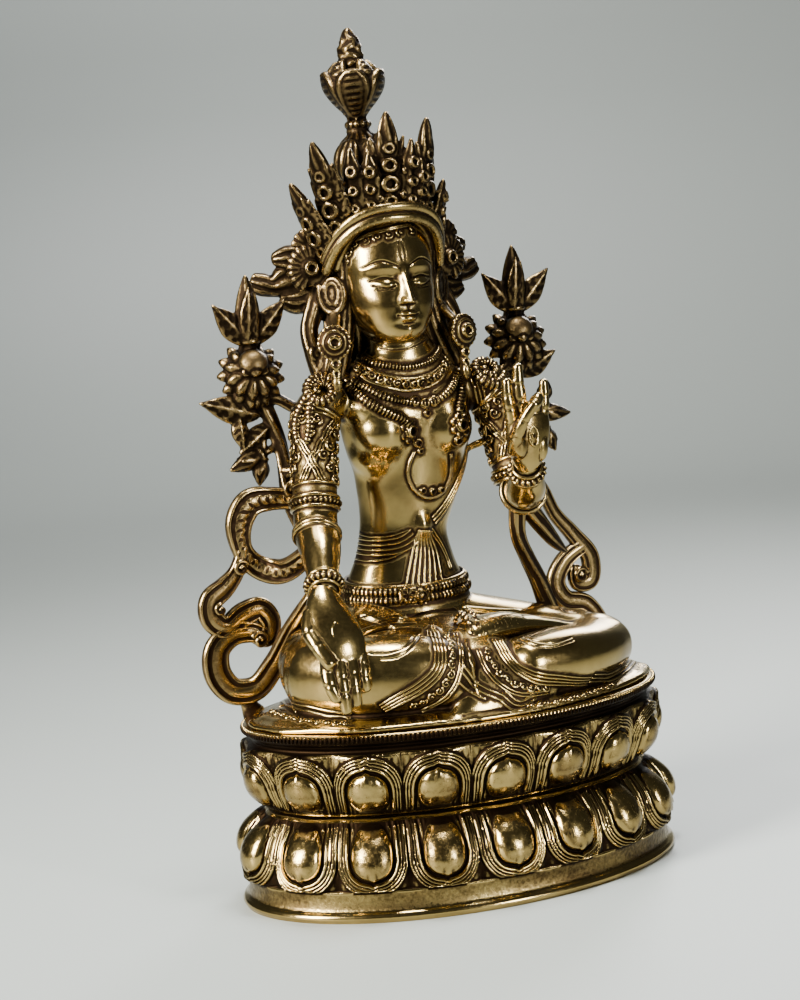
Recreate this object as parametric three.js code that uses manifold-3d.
// Seated Tara on a double lotus plinth, cast in brass. Millimetres, +Z up. The figure faces -Y and its own
// left hand is towards +X. The origin is at the middle of the plinth's flat underside.
import * as THREE from "three";
import { mergeVertices } from "three/addons/utils/BufferGeometryUtils.js";
import Module from "manifold-3d";

const wasm = await Module();
wasm.setup();

// Driving dimensions of the plinth
const PLINTH_WIDTH = 208;
const PLINTH_DEPTH = 132;
const FOOT_BAND_HEIGHT = 13;
const FOOT_LIP_HEIGHT = 4;
const FOOT_LIP_REACH = 1.6;
const LOWER_PETAL_HEIGHT = 28;
const WAIST_HEIGHT = 3;
const UPPER_PETAL_HEIGHT = 24;
const COVE_HEIGHT = 6;
const RIM_HEIGHT = 6;
const WAIST_INSET = 13;
const COVE_INSET = 8.5;
const RIM_INSET = 5;
const PETAL_RELIEF = 5;
const PETAL_WIDTH = 31.8;
const PETAL_COLUMNS = 4;
const PETAL_ROWS = 4;
const PETAL_TURN = 0.6;

// Driving dimensions of the figure. Its pose and carving are set in shares of its own height: FIGURE_SHARES
// of them make the whole figure, from the seat to the tip of the crown's finial.
const FIGURE_HEIGHT = 300;
const FIGURE_SHARES = 300;
const HEAD_X = -8;
const LOTUS_PETALS = 7;
const HEM_THICKNESS = 4.5;
const HEM_INSET = 3;

// Each crown leaf, from the figure's right to its left: its turn from the front in degrees, its rise and how
// far its tip leans out
const CROWN_LEAVES = [
  [-75, 36, 19],
  [-53, 43, 17],
  [-2, 45, 4],
  [39, 45, 5],
  [74, 28, 6],
];

// Each lotus: its flower's middle, the stem below it, where its two bridges meet the arm, and the leaves and
// buds on that stem, each with its root, tip, half width and half thickness
const LOTUSES = [
  {
    flower: [-71, 33, 151],
    stem: [[-62, 27, 92], [-60, 31, 106], [-60, 33, 116], [-63, 34, 128], [-67, 34, 138]],
    shoulder: [-44, 28, 134],
    elbow: [-52, 16, 96],
    leaves: [
      [[-69, 35, 132], [-96, 33, 140], 5, 3],
      [[-79, 34, 134], [-78, 34, 117], 3, 2.6],
      [[-59, 34, 118], [-85, 32, 110], 4.4, 3.4],
      [[-70, 34, 118], [-72, 32, 102], 4.2, 3.4],
    ],
  },
  {
    flower: [61, 33, 155],
    stem: [[58, 25, 92], [55, 30, 106], [55, 33, 118], [58, 34, 130], [60, 34, 142]],
    shoulder: [40, 28, 136],
    elbow: [47, 16, 98],
    leaves: [
      [[62, 35, 138], [79, 33, 147], 4.6, 3],
      [[72, 34, 117], [76, 34, 133], 4, 3.2],
      [[56, 34, 119], [85, 32, 118], 4.4, 3.4],
      [[71, 34, 119], [77, 32, 102], 4, 3.2],
    ],
  },
];

const PLINTH_HEIGHT =
  FOOT_BAND_HEIGHT + LOWER_PETAL_HEIGHT + WAIST_HEIGHT + UPPER_PETAL_HEIGHT + COVE_HEIGHT + RIM_HEIGHT;
const SHARE = FIGURE_HEIGHT / FIGURE_SHARES;

const BRASS = { color: 0xb08a45, metalness: 1, roughness: 0.28 };
const DARK_BRASS = { color: 0x8f6f3a, metalness: 1, roughness: 0.4 };

const vec = (x, y, z) => new THREE.Vector3(x, y, z);
const smooth = (t) => {
  const c = Math.min(1, Math.max(0, t));
  return c * c * (3 - 2 * c);
};
const mix = (a, b, t) => a + (b - a) * t;

// Solids: a closed geometry becomes one solid, turned the right way round
function solid(geometry) {
  const g = geometry.clone();
  g.deleteAttribute("normal");
  g.deleteAttribute("uv");
  const merged = mergeVertices(g, 1e-4);
  const triVerts = new Uint32Array(merged.index.array);
  const vertProperties = new Float32Array(merged.attributes.position.array);
  const made = new wasm.Manifold(new wasm.Mesh({ numProp: 3, vertProperties, triVerts }));
  if (made.volume() > 0) return made;
  for (let i = 0; i < triVerts.length; i += 3) {
    [triVerts[i + 1], triVerts[i + 2]] = [triVerts[i + 2], triVerts[i + 1]];
  }
  return new wasm.Manifold(new wasm.Mesh({ numProp: 3, vertProperties, triVerts }));
}

const joined = (solids) => solids.reduce((whole, next) => whole.add(next));

function meshOf(name, made, look) {
  const { vertProperties, triVerts } = made.getMesh();
  const geometry = new THREE.BufferGeometry()
    .setAttribute("position", new THREE.BufferAttribute(new Float32Array(vertProperties), 3))
    .setIndex(new THREE.BufferAttribute(new Uint32Array(triVerts), 1));
  geometry.computeVertexNormals();
  const mesh = new THREE.Mesh(geometry, new THREE.MeshStandardMaterial(look));
  mesh.name = name;
  return mesh;
}

// A tapering form through sections, each [x, y, z, half width, half thickness] in shares. The thickness lies
// along `facing` as nearly as the path allows. `square` over 1 makes the sections boxier, `flutes` over 0
// sinks every second corner by that share of the width, and `blunt` leaves the ends flat.
function limb(sections, { sides = 8, facing = [0, -1, 0], square = 1, flutes = 0, blunt = false } = {}) {
  const last = sections.length - 1;
  const capAt = (end, next) => {
    const [x, y, z, width, thickness] = sections[end];
    const out = vec(x, y, z).sub(vec(...sections[next].slice(0, 3))).normalize();
    const spot = vec(x, y, z).addScaledVector(out, Math.min(width, thickness) * 0.7);
    return [spot.x, spot.y, spot.z, width * 0.5, thickness * 0.5];
  };
  const rows = blunt ? sections : [capAt(0, 1), ...sections, capAt(last, last - 1)];
  const points = rows.map(([x, y, z]) => vec(x, y, z));
  const geometry = new THREE.CylinderGeometry(1, 1, 1, sides, rows.length - 1);
  const position = geometry.attributes.position;
  const bent = (c) => Math.sign(c) * Math.abs(c) ** (1 / square);
  for (let i = 0; i < position.count; i += 1) {
    const row = Math.round((0.5 - position.getY(i)) * (rows.length - 1));
    const before = points[Math.max(0, row - 1)];
    const after = points[Math.min(rows.length - 1, row + 1)];
    const along = after.clone().sub(before).normalize();
    const across = vec(...facing).cross(along).normalize();
    const out = along.clone().cross(across);
    const corner = Math.round((Math.atan2(position.getZ(i), position.getX(i)) / (Math.PI * 2)) * sides);
    const depth = corner % 2 === 0 ? 1 : 1 - flutes;
    const spot = points[row]
      .clone()
      .addScaledVector(across, bent(position.getX(i)) * rows[row][3] * depth)
      .addScaledVector(out, bent(position.getZ(i)) * rows[row][4] * depth)
      .multiplyScalar(SHARE);
    position.setXYZ(i, spot.x, spot.y, spot.z);
  }
  return solid(geometry);
}

// An ellipsoid at a place, with its half sizes
function ball([x, y, z], [rx, ry, rz], { sides, rings }) {
  const geometry = new THREE.SphereGeometry(1, sides, rings);
  geometry.rotateX(Math.PI / 2);
  geometry.scale(rx, ry, rz);
  geometry.translate(x, y, z);
  geometry.scale(SHARE, SHARE, SHARE);
  return solid(geometry);
}

// A ring of round wire, such as a bracelet: its middle, its axis, its two half widths and the wire's radius
function ring([x, y, z], axis, [rx, ry], wire, { sides, steps }) {
  const geometry = new THREE.TorusGeometry(1, 1, sides, steps);
  const position = geometry.attributes.position;
  const turn = new THREE.Quaternion().setFromUnitVectors(vec(0, 0, 1), vec(...axis).normalize());
  for (let i = 0; i < position.count; i += 1) {
    const u = (Math.floor(i / (steps + 1)) / sides) * Math.PI * 2;
    const v = ((i % (steps + 1)) / steps) * Math.PI * 2;
    const reach = wire * Math.cos(u);
    const spot = vec((rx + reach) * Math.cos(v), (ry + reach) * Math.sin(v), wire * Math.sin(u));
    spot.applyQuaternion(turn).add(vec(x, y, z)).multiplyScalar(SHARE);
    position.setXYZ(i, spot.x, spot.y, spot.z);
  }
  return solid(geometry);
}

// A curve through points, sampled evenly, for ribbons and stems
function eased(points, steps) {
  const curve = new THREE.CatmullRomCurve3(points.map(([x, y, z]) => vec(x, y, z)), false, "centripetal");
  return curve.getSpacedPoints(steps);
}

// The plinth

// Points of an oval, evenly spaced along its edge, each with its outward direction
function ovalPoints(width, depth, count, start = 0) {
  const halfWidth = width / 2;
  const halfDepth = depth / 2;
  const at = (turn) => vec(halfWidth * Math.cos(turn), halfDepth * Math.sin(turn), 0);
  const fine = 2880;
  const lengths = [0];
  for (let i = 1; i <= fine; i += 1) {
    const turn = (i / fine) * Math.PI * 2;
    const before = ((i - 1) / fine) * Math.PI * 2;
    lengths.push(lengths[i - 1] + at(turn).distanceTo(at(before)));
  }
  const found = [];
  let step = 0;
  for (let i = 0; i < count; i += 1) {
    const wanted = ((i + start) / count) * lengths[fine];
    while (lengths[step + 1] < wanted) step += 1;
    const part = (wanted - lengths[step]) / (lengths[step + 1] - lengths[step]);
    const turn = ((step + part) / fine) * Math.PI * 2;
    const out = vec(Math.cos(turn) / halfWidth, Math.sin(turn) / halfDepth, 0).normalize();
    found.push({ at: at(turn), out });
  }
  return found;
}

// How far a petal's face stands out: `side` is -0.5 to 0.5 across it and `drop` 0 at its root to 1 at its tip
function petalRelief(side, drop) {
  const across = Math.abs(side) * 2;
  const arch = 1 - across ** 2.2;
  const swell = smooth((drop + 0.3) / 0.8);
  const fromHeart = Math.hypot(across * 0.8, Math.max(0, (drop - 0.55) / 0.45));
  return PETAL_RELIEF * arch * swell * smooth((1.1 - fromHeart) / 0.5);
}

// How many petals go round: as many whole ones as fit the foot's edge
function petalsRound() {
  const halfWidth = PLINTH_WIDTH / 2;
  const halfDepth = PLINTH_DEPTH / 2;
  const edge = new THREE.EllipseCurve(0, 0, halfWidth, halfDepth).getLength();
  return Math.round(edge / PETAL_WIDTH);
}

// The plinth's side as rows from the underside up: each has its height, its inset and, on a petal, its drop
function plinthRows() {
  const lowerTop = FOOT_BAND_HEIGHT + LOWER_PETAL_HEIGHT;
  const upperStart = lowerTop + WAIST_HEIGHT;
  const upperTop = upperStart + UPPER_PETAL_HEIGHT;
  const coveTop = upperTop + COVE_HEIGHT;
  const lowerInset = FOOT_LIP_REACH + PETAL_RELIEF * 0.6;
  const rows = [
    { z: 0, inset: FOOT_LIP_REACH / 2 },
    { z: FOOT_LIP_HEIGHT / 2, inset: 0 },
    { z: FOOT_LIP_HEIGHT, inset: FOOT_LIP_REACH },
  ];
  for (let i = 0; i <= PETAL_ROWS; i += 1) {
    const up = i / PETAL_ROWS;
    const inset = mix(lowerInset, WAIST_INSET, up ** 2.2);
    rows.push({ z: FOOT_BAND_HEIGHT + LOWER_PETAL_HEIGHT * up, inset, drop: 1 - up });
  }
  for (let i = 0; i <= PETAL_ROWS; i += 1) {
    const up = i / PETAL_ROWS;
    const inset = mix(WAIST_INSET, COVE_INSET - PETAL_RELIEF * 0.2, Math.sin((up * Math.PI) / 2));
    rows.push({ z: upperStart + UPPER_PETAL_HEIGHT * up, inset, drop: up });
  }
  rows.push({ z: coveTop, inset: COVE_INSET });
  rows.push({ z: coveTop + RIM_HEIGHT * 0.2, inset: RIM_INSET });
  rows.push({ z: PLINTH_HEIGHT, inset: RIM_INSET });
  return rows;
}

function plinth() {
  const rows = plinthRows();
  const columns = petalsRound() * PETAL_COLUMNS;
  const edge = ovalPoints(PLINTH_WIDTH, PLINTH_DEPTH, columns, (PETAL_TURN - 0.5) * PETAL_COLUMNS);
  const geometry = new THREE.CylinderGeometry(1, 1, 1, columns, rows.length - 1);
  const position = geometry.attributes.position;
  for (let i = 0; i < position.count; i += 1) {
    const row = rows[rows.length - 1 - Math.round((0.5 - position.getY(i)) * (rows.length - 1))];
    const radius = Math.hypot(position.getX(i), position.getZ(i));
    if (radius < 0.5) {
      position.setXYZ(i, 0, 0, row.z);
    } else {
      const turn = Math.atan2(position.getZ(i), position.getX(i)) / (Math.PI * 2);
      const column = (Math.round(turn * columns) + columns) % columns;
      const side = (column % PETAL_COLUMNS) / PETAL_COLUMNS - 0.5;
      const relief = row.drop === undefined ? 0 : petalRelief(side, row.drop);
      const { at, out } = edge[column];
      const spot = at.clone().addScaledVector(out, relief - row.inset);
      position.setXYZ(i, spot.x, spot.y, row.z);
    }
  }
  return solid(geometry);
}

// The figure. Every place below is in shares of its height, measured from the middle of its seat.

// The robe's hem, spread flat on the plinth inside its rim and drawn in a little in front and behind
function hem() {
  const columns = 36;
  const inset = RIM_INSET + HEM_INSET;
  const edge = ovalPoints(PLINTH_WIDTH, PLINTH_DEPTH, columns);
  const heights = [0, HEM_THICKNESS * 0.6, HEM_THICKNESS];
  const drawnIn = [0, 0.4, HEM_THICKNESS * 0.6];
  const geometry = new THREE.CylinderGeometry(1, 1, 1, columns, heights.length - 1);
  const position = geometry.attributes.position;
  for (let i = 0; i < position.count; i += 1) {
    const row = heights.length - 1 - Math.round((0.5 - position.getY(i)) * (heights.length - 1));
    const radius = Math.hypot(position.getX(i), position.getZ(i));
    if (radius < 0.5) {
      position.setXYZ(i, 0, 0, heights[row]);
    } else {
      const turn = Math.atan2(position.getZ(i), position.getX(i)) / (Math.PI * 2);
      const { at, out } = edge[(Math.round(turn * columns) + columns) % columns];
      const front = smooth((-out.y - 0.9) / 0.1) * HEM_THICKNESS;
      const back = smooth(out.y / 0.6) * HEM_THICKNESS;
      const spot = at.clone().addScaledVector(out, -inset - drawnIn[row] - front - back);
      position.setXYZ(i, spot.x, spot.y, heights[row]);
    }
  }
  return solid(geometry);
}

// The belt and the collar are raised bands of the same trunk
function torso() {
  const trunk = limb(
    [
      [-4, 29, 12, 38, 26],
      [-4.5, 31, 30, 33, 24],
      [-5, 32, 42, 29, 21.5],
      [-5, 32, 43, 31.5, 24],
      [-5, 32, 50.5, 30.5, 22.8],
      [-5, 32, 51.5, 26.5, 19.6],
      [-4.4, 31, 74, 20.8, 15.6],
      [-2, 30, 90, 24.2, 16.4],
      [0, 29, 110, 29.5, 17.6],
      [-2, 27, 130, 31.5, 17],
      [-3, 26, 143, 28.5, 13],
    ],
    { sides: 10 },
  );
  const breasts = [-22, 10.5].map((x) => ball([x, 18, 118], [15, 15.2, 14.4], { sides: 8, rings: 5 }));
  const neck = limb([
    [-4, 24, 142, 18, 14.5],
    [-4.5, 24, 150, 17, 13],
    [-5.5, 24, 156, 14.5, 12],
    [-7, 24, 163, 12, 11],
    [-8, 23, 170, 10.5, 10],
  ]);
  const necklace = ring([-5, 21, 135], [-0.1, -0.8, 1], [23, 17], 2.6, { sides: 3, steps: 12 });
  const pendant = ball([-6, 5, 122], [5, 3.4, 6], { sides: 6, rings: 4 });
  return [trunk, ...breasts, neck, necklace, pendant];
}

// The head, with hair behind it down to the shoulders
function head() {
  const skull = [
    [HEAD_X + 0.6, 13.8, 166, 12, 11],
    [HEAD_X + 0.4, 17, 174, 18, 17.5],
    [HEAD_X + 0.2, 21, 184, 20.5, 20.5],
    [HEAD_X, 23.5, 195, 21.5, 22],
    [HEAD_X, 25, 206, 20.5, 21],
    [HEAD_X, 27, 214, 14, 15],
  ];
  const hair = [
    [HEAD_X - 1, 36, 206, 22, 14],
    [HEAD_X, 38, 195, 25, 14],
    [HEAD_X + 1, 42, 178, 25, 11],
    [HEAD_X + 3, 44, 158, 26, 9],
    [HEAD_X + 5, 43, 138, 26, 7],
  ];
  const nose = [
    [HEAD_X, 3.2, 194, 1.5, 2.4],
    [HEAD_X + 0.5, 0.6, 181, 3, 3],
  ];
  return [limb(skull, { sides: 10 }), limb(nose, { sides: 4 }), limb(hair, { sides: 6 })];
}

// An ear with its rosette above it and, below it, the long lobe's round earring
function ear(side) {
  const at = (out, y, z) => [HEAD_X + side * out, y, z];
  const lobe = [
    [...at(21, 25, 198), 4, 5],
    [...at(26, 25, 190), 5, 5.5],
    [...at(27.5, 24, 182), 5.5, 6],
    [...at(27, 20, 171), 3, 3.4],
    [...at(30, 14, 163), 3, 3],
  ];
  return [
    limb(lobe, { sides: 6 }),
    ball(at(33, 29, 195), [9, 5, 9], { sides: 6, rings: 4 }),
    ball(at(31, 11.5, 161), [7.5, 4.5, 8], { sides: 6, rings: 4 }),
  ];
}

// A bow of ribbon that stands out beside the head, and the lock that falls from it to the shoulder
function bow(side) {
  const at = (out, y, z) => [HEAD_X + side * out, y, z];
  const wing = [
    [...at(22, 34, 193), 5, 5],
    [...at(37, 38, 190), 7, 4],
    [...at(47, 41, 188), 5.4, 3],
    [...at(55, 43, 190), 2.6, 2],
  ];
  const lock = [
    [...at(25, 34, 188), 5, 4],
    [...at(33, 31.5, 174), 3.2, 3],
    [...at(34.5, 29.5, 163), 3, 3],
    [...at(31, 26, 148), 5, 5],
  ];
  return [limb(wing, { sides: 6 }), limb(lock, { sides: 6 })];
}

// A place on the crown's band, which arches over the forehead from ear to ear: its turn from the front in
// degrees and how far it stands off the band, outwards and up
function onBand(turn, out = 0, up = 0) {
  const a = THREE.MathUtils.degToRad(turn);
  const drop = 29 * Math.abs(turn / 90) ** 2.5;
  return [HEAD_X - 1.3 + (25.6 + out) * Math.sin(a), 26 - (21.5 + out) * Math.cos(a), 215 - drop + up];
}

// The crown: the band and five leaves that stand on it and lean outwards. Each leaf's edge steps in and out
// with its stack of jewels.
function crown() {
  const turns = Array.from({ length: 11 }, (_, i) => (i - 5) * 18.5);
  const band = limb(turns.map((turn) => [...onBand(turn), 2.8, 4]), { sides: 6, facing: [0, 0, 1] });
  const leaves = CROWN_LEAVES.map(([turn, rise, lean]) => {
    const a = THREE.MathUtils.degToRad(turn);
    const out = vec(Math.sin(a), -Math.cos(a), 0);
    const at = (up) => onBand(turn, lean * up - 1, rise * up);
    const blade = [
      [...at(0), 7.5, 4],
      [...at(0.16), 10, 5],
      [...at(0.3), 7.5, 4],
      [...at(0.42), 8.6, 4.4],
      [...at(0.6), 5, 3],
      [...at(0.97), 1.4, 1.4],
    ];
    return limb(blade, { sides: 4, facing: out.toArray(), blunt: true });
  });
  return [band, ...leaves, ...topknot()];
}

// The topknot's combed lobes, then the finial: a collar, leaves that curl out and a bud
function topknot() {
  const knot = [
    [HEAD_X, 32, 208, 17, 15],
    [-9, 34, 222, 10, 10],
    [-9.5, 35, 232, 10, 10],
    [-9.5, 35, 246, 11, 11],
    [-10, 35, 254, 6, 6],
  ];
  const finial = [
    [-10.5, 36, 257, 4.5, 4.5],
    [-10.5, 36, 261, 5.6, 5.6],
    [-10.8, 36, 266, 4, 4],
    [-11, 36, 272, 13, 13],
    [-11, 36, 280, 13, 13],
    [-11.2, 36, 284, 6, 6],
    [-11.6, 36, 290, 5.4, 5.4],
    [-12, 36, 299, 1.4, 1.4],
  ];
  return [limb(knot, { sides: 10, flutes: 0.22 }), limb(finial, { sides: 8, flutes: 0.3 })];
}

// A finger as joints from the palm to its tip
const finger = (joints, width) =>
  limb(joints.map(([x, y, z], i) => [x, y, z, width * (1.15 - i * 0.15), width * (1.15 - i * 0.15)]), {
    sides: 4,
    blunt: true,
  });

// The right arm hangs over the knee, its open palm turned out and its fingers down. The sleeve ends in a
// raised armlet above the elbow, and a bracelet rings the wrist.
function rightArm() {
  const upper = [
    [-36, 26, 139, 10, 9.5],
    [-46, 23, 132, 10.5, 10.5],
    [-50.5, 18, 114, 9.5, 10],
    [-54, 12, 94, 10.6, 11],
    [-55, 10.5, 90, 10.6, 11],
    [-55.2, 10, 89, 8.8, 9],
    [-56.8, 6.5, 79, 8.8, 8.8],
  ];
  const fore = [
    [-57, 6, 82, 8.8, 8.8],
    [-60.5, -6, 73, 8.4, 7.8],
    [-65.2, -19, 62, 5.8, 5.6],
    [-65.4, -19.8, 61.4, 7.4, 7.2],
    [-66.2, -22, 59.6, 7.4, 7.2],
  ];
  const palm = [
    [-67.5, -22, 59, 5.6, 5],
    [-68.6, -31, 49, 9.8, 5.2],
    [-67.4, -39.5, 34, 9.6, 4.4],
  ];
  return [
    limb(upper, { sides: 7 }),
    limb(fore, { sides: 7, facing: [0, 1, 1] }),
    limb(palm, { sides: 6 }),
    finger([[-73.6, -40, 33], [-75, -44.5, 26], [-73.4, -47, 17.6]], 2.7),
    finger([[-69.6, -41, 32], [-70.5, -46, 22], [-70.4, -47.6, 12.6]], 2.8),
    finger([[-65.2, -41, 32], [-66.2, -46, 23], [-66, -47.4, 14.8]], 2.7),
    finger([[-60.8, -39.5, 34], [-61, -44.5, 26], [-60.8, -45.5, 19.8]], 2.5),
    finger([[-76, -29, 51], [-79, -37, 42], [-75.4, -44.5, 32]], 3.4),
  ];
}

// The left arm bends up, its palm turned out beside the breast, thumb and ring finger touching
function leftArm() {
  const upper = [
    [31, 26, 139, 10, 9.5],
    [40.5, 23, 133, 10.5, 10.5],
    [44, 19, 116, 9.5, 10],
    [45.4, 12.5, 97, 10.6, 11],
    [45.4, 11, 93, 10.6, 11],
    [45.4, 10.6, 92, 8.8, 9],
    [45, 7, 85, 8.8, 8.8],
  ];
  const fore = [
    [45, 8, 86, 8.8, 8.8],
    [42, -4, 90, 8.4, 7.8],
    [37.8, -13.6, 98.4, 5.8, 5.6],
    [37.6, -14, 98.8, 7.4, 7.2],
    [37, -16, 100.8, 7.4, 7.2],
  ];
  const palm = [
    [37, -16, 101, 5.6, 4.6],
    [36.5, -19, 109, 9, 4.6],
    [36, -21, 122, 10, 4.2],
  ];
  return [
    limb(upper, { sides: 7 }),
    limb(fore, { sides: 7, facing: [0, 0, 1] }),
    limb(palm, { sides: 6 }),
    finger([[28.8, -21, 123], [26.8, -22, 131], [26.6, -22, 139]], 2.8),
    finger([[33.6, -21, 124], [32.6, -22, 136], [32.4, -22, 146]], 2.8),
    finger([[38.6, -21, 124], [38.8, -25, 131], [37.6, -28.5, 130]], 2.6),
    finger([[43, -20, 121], [44.6, -21.5, 129], [45, -21.5, 137]], 2.5),
    finger([[29, -20, 111], [29.6, -26, 120], [35.5, -29, 129]], 3),
  ];
}

// The crossed legs under the robe: each thigh runs out to its knee and the shin comes back to the middle.
// The left leg lies lower, under the right foot.
const LEGS = [
  [
    [-18, 28, 24, 21, 20],
    [-44, 16, 24, 20, 19],
    [-66, -2, 23, 18, 17],
  ],
  [
    [-69, -12, 21, 17, 17],
    [-54, -26, 21, 17.5, 17],
    [-34, -35, 21, 17, 16],
    [-16, -38, 19, 14, 13.5],
  ],
  [
    [18, 28, 23, 21, 18],
    [44, 15, 19, 19.5, 15],
    [66, -3, 16.5, 17.5, 12.5],
  ],
  [
    [69, -12, 15.5, 17, 12.5],
    [54, -25, 15.5, 17, 13],
    [34, -34, 16.5, 17, 13],
    [16, -38, 17, 14, 13],
  ],
];

// The lap: the right foot lies sole up on the left thigh, and the robe's two edges meet and spread below it
function lap() {
  const foot = [
    [-2, -24, 34, 9, 6],
    [12, -22, 35.4, 8.6, 6],
    [28, -17.5, 33.6, 8.4, 5],
    [47, -12, 29.6, 7.4, 3.4],
    [56, -10, 27, 6, 2.4],
  ];
  const apron = [
    [-3, -30, 30, 12, 5],
    [-3, -42, 18, 10, 5],
    [-3, -52, 6, 13, 4],
  ];
  return [
    ...LEGS.map((part) => limb(part, { sides: 8, facing: [0, 0, 1], square: 1.15 })),
    limb(foot, { sides: 6, facing: [0, 0, 1] }),
    limb(apron, { sides: 6, facing: [0, -1, 1] }),
    ball([-3, -4, 18], [36, 36, 21], { sides: 8, rings: 5 }),
  ];
}

// A leaf or bud: four-sided and pointed at its tip, on a line from its root
function leaf([root, tip, width, thickness]) {
  const at = (t) => vec(...root).lerp(vec(...tip), t).toArray();
  const sections = [
    [...at(0), width * 0.4, thickness],
    [...at(0.45), width, thickness],
    [...at(1), width * 0.12, 0.6],
  ];
  return limb(sections, { sides: 4, blunt: true });
}

// An open lotus: a ball whose rim stands out in petals, with a domed heart towards the front
function bloom([x, y, z]) {
  const columns = LOTUS_PETALS * 2;
  const geometry = new THREE.SphereGeometry(1, columns, 5);
  geometry.rotateX(Math.PI / 2);
  const position = geometry.attributes.position;
  for (let i = 0; i < position.count; i += 1) {
    const p = vec(position.getX(i), position.getY(i), position.getZ(i));
    const reach = Math.hypot(p.x, p.y);
    const corner = Math.round((Math.atan2(p.y, p.x) / (Math.PI * 2)) * columns);
    const petal = corner % 2 === 0 ? 1 : 1 - 0.24 * reach ** 2;
    const out = p.z > 0 ? 13 : 7;
    position.setXYZ(i, x + p.x * 13.5 * petal, y - p.z * out, z + p.y * 12.5 * petal);
  }
  geometry.scale(SHARE, SHARE, SHARE);
  return solid(geometry);
}

// A lotus beside each shoulder on its stem, with a bridge to the shoulder and one to the upper arm
function lotus({ flower, stem, shoulder, elbow, leaves }) {
  const [x, y, z] = flower;
  const upright = [
    [[x, y, z + 6], [x, y, z + 43], 5.6, 3.4],
    [[x + 1, y, z + 12], [x + 17, y, z + 31], 4.8, 3],
    [[x - 1, y, z + 12], [x - 16, y, z + 31], 4.8, 3],
  ];
  const path = eased([...stem, [x, y, z - 4]], 5);
  const bar = (from, to) => limb([[...from, 4, 3.6], [...to, 4.2, 4]], { sides: 4, blunt: true });
  return [
    limb(path.map((p) => [p.x, p.y, p.z, 4.4, 3.6]), { sides: 4, blunt: true }),
    bloom(flower),
    ...[...upright, ...leaves].map(leaf),
    bar([x, y + 2, z - 14], shoulder),
    bar(stem[1], elbow),
  ];
}

// A flat ribbon along a curve, four-sided
const ribbon = (points, steps, width, thickness = 3) =>
  limb(
    eased(points, steps).map((p) => [p.x, p.y, p.z, width, thickness]),
    { sides: 4, blunt: true },
  );

// The right scarf: a loop off the forearm, then two curls that end behind the wrist
function rightScarf() {
  const loop = [
    [-56, 26, 93],
    [-69, 28, 94],
    [-79, 28, 94],
    [-84, 28, 87],
    [-84, 28, 74],
    [-78, 28, 65],
    [-69, 22, 62],
    [-59, 6, 74],
  ];
  const upperCurl = [
    [-83, 28, 72],
    [-88, 28, 63],
    [-94, 28, 58],
    [-102, 28, 53],
    [-102, 28, 45],
    [-95, 28, 40],
    [-84, 28, 47],
    [-76, 28, 45],
    [-73, 28, 37],
    [-79, 28, 32],
  ];
  const lowerCurl = [
    [-75, 28, 33],
    [-90, 28, 35],
    [-99, 28, 32],
    [-101, 28, 21],
    [-96, 27, 11],
    [-85, 25, 10],
    [-75, 20, 24],
    [-63, 2, 52],
  ];
  const foot = [
    [-92, 27, 10, 6, 3],
    [-80, 20, 5, 7, 5],
    [-64, 12, 8, 8, 6],
  ];
  return [ribbon(loop, 9, 5), ribbon(upperCurl, 12, 4.6), ribbon(lowerCurl, 10, 5), limb(foot, { sides: 6 })];
}

// The left scarf: a band from the elbow to the thigh, a pointed tail, and curls behind the knee
function leftScarf() {
  const band = [
    [43, 7, 80],
    [43, 9, 66],
    [49, 13, 55],
    [56, 17, 43],
    [64, 22, 25],
  ];
  const tail = [
    [47, 7, 80],
    [56, 10, 70],
    [64, 14, 61],
    [73, 18, 55],
  ];
  const outerCurl = [
    [58, 25, 95],
    [66, 27, 84],
    [72, 28, 71],
    [84, 28, 60],
    [92, 28, 47],
    [91, 28, 36],
    [83, 28, 37],
  ];
  const innerCurl = [
    [87, 28, 55],
    [76, 28, 48],
    [70, 28, 39],
    [74, 28, 29],
    [87, 28, 27],
    [97, 26, 12],
  ];
  const foot = [
    [95, 25, 13, 6, 3],
    [84, 20, 6, 7, 5],
    [68, 12, 8, 8, 6],
  ];
  return [
    ribbon(band, 5, 5, 4),
    ribbon(tail, 3, 4, 3.4),
    ribbon(outerCurl, 8, 5),
    ribbon(innerCurl, 7, 5),
    limb(foot, { sides: 6 }),
  ];
}

function figure() {
  const both = [-1, 1].flatMap((side) => [...ear(side), ...bow(side)]);
  const body = joined([
    ...torso(),
    ...head(),
    ...both,
    ...LOTUSES.flatMap(lotus),
    ...crown(),
    ...rightArm(),
    ...leftArm(),
    ...lap(),
    ...rightScarf(),
    ...leftScarf(),
  ]);
  const reach = 4 * FIGURE_HEIGHT;
  const above = new THREE.BoxGeometry(reach, reach, reach).translate(0, 0, reach / 2);
  return body.intersect(solid(above)).add(hem());
}

const tara = new THREE.Group();
tara.add(meshOf("lotus_plinth", plinth(), BRASS));
const seated = meshOf("tara_figure", figure(), DARK_BRASS);
seated.position.z = PLINTH_HEIGHT;
tara.add(seated);

export default tara;
